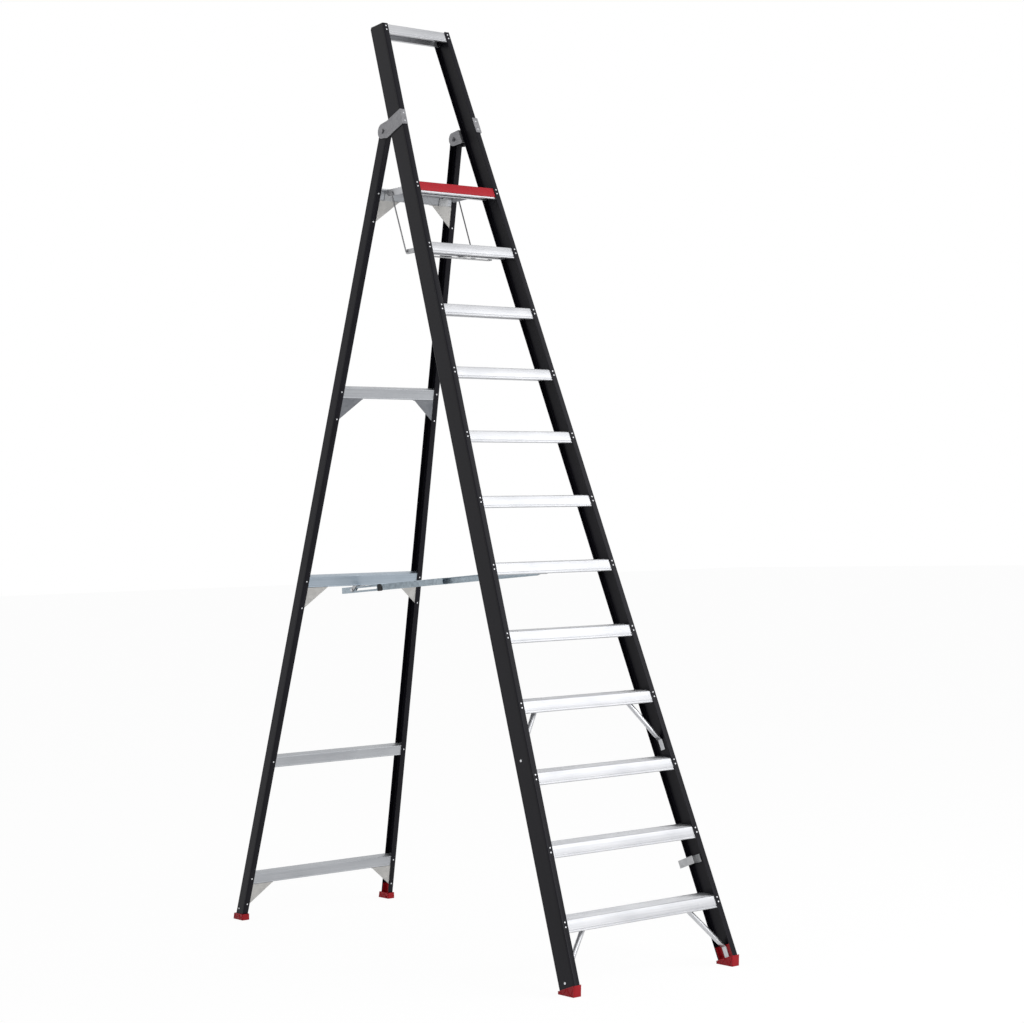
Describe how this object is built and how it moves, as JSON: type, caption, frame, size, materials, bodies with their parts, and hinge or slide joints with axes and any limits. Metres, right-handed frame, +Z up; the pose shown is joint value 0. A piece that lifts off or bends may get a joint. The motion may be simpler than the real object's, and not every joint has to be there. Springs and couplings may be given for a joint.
{
  "type": "platform step ladder",
  "caption": "Tall aluminium platform step ladder with treads, a red-edged platform, a handrail above it and a hinged rear frame that folds flat.",
  "frame": {"origin": "on the floor, midway between toe and heel and between the sides, at the bottom centre of the bounding box", "axes": "+X to the right of someone climbing the treads, +Y from the front frame to the rear frame, +Z up"},
  "size_m": [0.7434, 2.1346, 3.456],
  "materials": {
    "dark_coat": "dark grey satin coat with fine lengthwise grooves",
    "aluminium": "bright mill finish extrusion",
    "bar_metal": "dull mill finish",
    "galvanised": "galvanised pressed sheet",
    "steel": "plated fasteners and rods",
    "red_plastic": "satin red moulding"
  },
  "bodies": {
    "front_frame": {"brace_lower_left": "aluminium", "brace_lower_right": "aluminium", "brace_upper_left": "aluminium", "brace_upper_right": "aluminium", "deck_hinge_pin": "steel", "front_foot_left": "red_plastic", "front_foot_right": "red_plastic", "front_stile_left": "dark_coat", "front_stile_right": "dark_coat", "handrail": "aluminium", "hinge_bolt_left": "steel", "hinge_bolt_right": "steel", "hinge_ear_left": "galvanised", "hinge_ear_right": "galvanised", "hinge_plate_left": "galvanised", "hinge_plate_right": "galvanised", "lever_pin": "steel", "platform_nosing": "red_plastic", "platform_tread": "aluminium", "stay_front_clevis": "galvanised", "stay_pin_front": "steel", "storage_catch": "galvanised", "tread_01": "aluminium", "tread_02": "aluminium", "tread_03": "aluminium", "tread_04": "aluminium", "tread_05": "aluminium", "tread_06": "aluminium", "tread_07": "aluminium", "tread_08": "aluminium", "tread_09": "aluminium", "tread_10": "aluminium", "tread_11": "aluminium"},
    "rear_frame": {"deck_seat_left": "galvanised", "deck_seat_right": "galvanised", "gusset_1_left": "galvanised", "gusset_1_right": "galvanised", "gusset_3_left": "galvanised", "gusset_3_right": "galvanised", "gusset_4_left": "galvanised", "gusset_4_right": "galvanised", "gusset_5_left": "galvanised", "gusset_5_right": "galvanised", "rear_bar_1": "bar_metal", "rear_bar_2": "bar_metal", "rear_bar_3": "bar_metal", "rear_bar_4": "bar_metal", "rear_bar_5": "bar_metal", "rear_foot_left": "red_plastic", "rear_foot_right": "red_plastic", "rear_stile_left": "dark_coat", "rear_stile_right": "dark_coat", "stay_pin_rear": "steel", "stay_rear_clevis": "galvanised"},
    "lift_rods": {"lift_rod_left": "steel", "lift_rod_right": "steel"},
    "deck": {"platform_deck": "aluminium"},
    "release_lever": {"release_lever": "galvanised"},
    "stay_front": {"stay_front_link": "galvanised"},
    "stay_rear": {"stay_rear_link": "galvanised"}
  },
  "joints": [
    {"name": "fold", "type": "hinge", "parent": "front_frame", "child": "rear_frame", "pos_m": [0, 0.16376, 3.03982], "axis": [-1, 0, 0], "range_deg": [0, 36]},
    {"name": "deck_tilt", "type": "hinge", "parent": "front_frame", "child": "deck", "pos_m": [0, 0.03756, 2.81005], "axis": [1, 0, 0], "range_deg": [0, 70]},
    {"name": "rod_hang", "type": "hinge", "parent": "deck", "child": "lift_rods", "pos_m": [0, 0.14856, 2.81005], "axis": [-1, 0, 0], "range_deg": [0, 70]},
    {"name": "lever_turn", "type": "hinge", "parent": "front_frame", "child": "release_lever", "pos_m": [0, -0.04794, 2.57512], "axis": [1, 0, 0], "range_deg": [0, 70]},
    {"name": "stay_front_turn", "type": "hinge", "parent": "front_frame", "child": "stay_front", "pos_m": [0, -0.4763, 1.37483], "axis": [-1, 0, 0], "range_deg": [0, 104.83]},
    {"name": "stay_rear_turn", "type": "hinge", "parent": "rear_frame", "child": "stay_rear", "pos_m": [0, 0.68659, 1.30722], "axis": [1, 0, 0], "range_deg": [0, 105.52]}
  ],
  "couplings": [
    {"joint": "deck_tilt", "follows": "fold", "ratio": 1.9444},
    {"joint": "rod_hang", "follows": "fold", "ratio": 1.9444},
    {"joint": "lever_turn", "follows": "fold", "ratio": 1.9444},
    {"joint": "stay_front_turn", "follows": "fold", "ratio": 2.9119},
    {"joint": "stay_rear_turn", "follows": "fold", "ratio": 2.931}
  ]
}
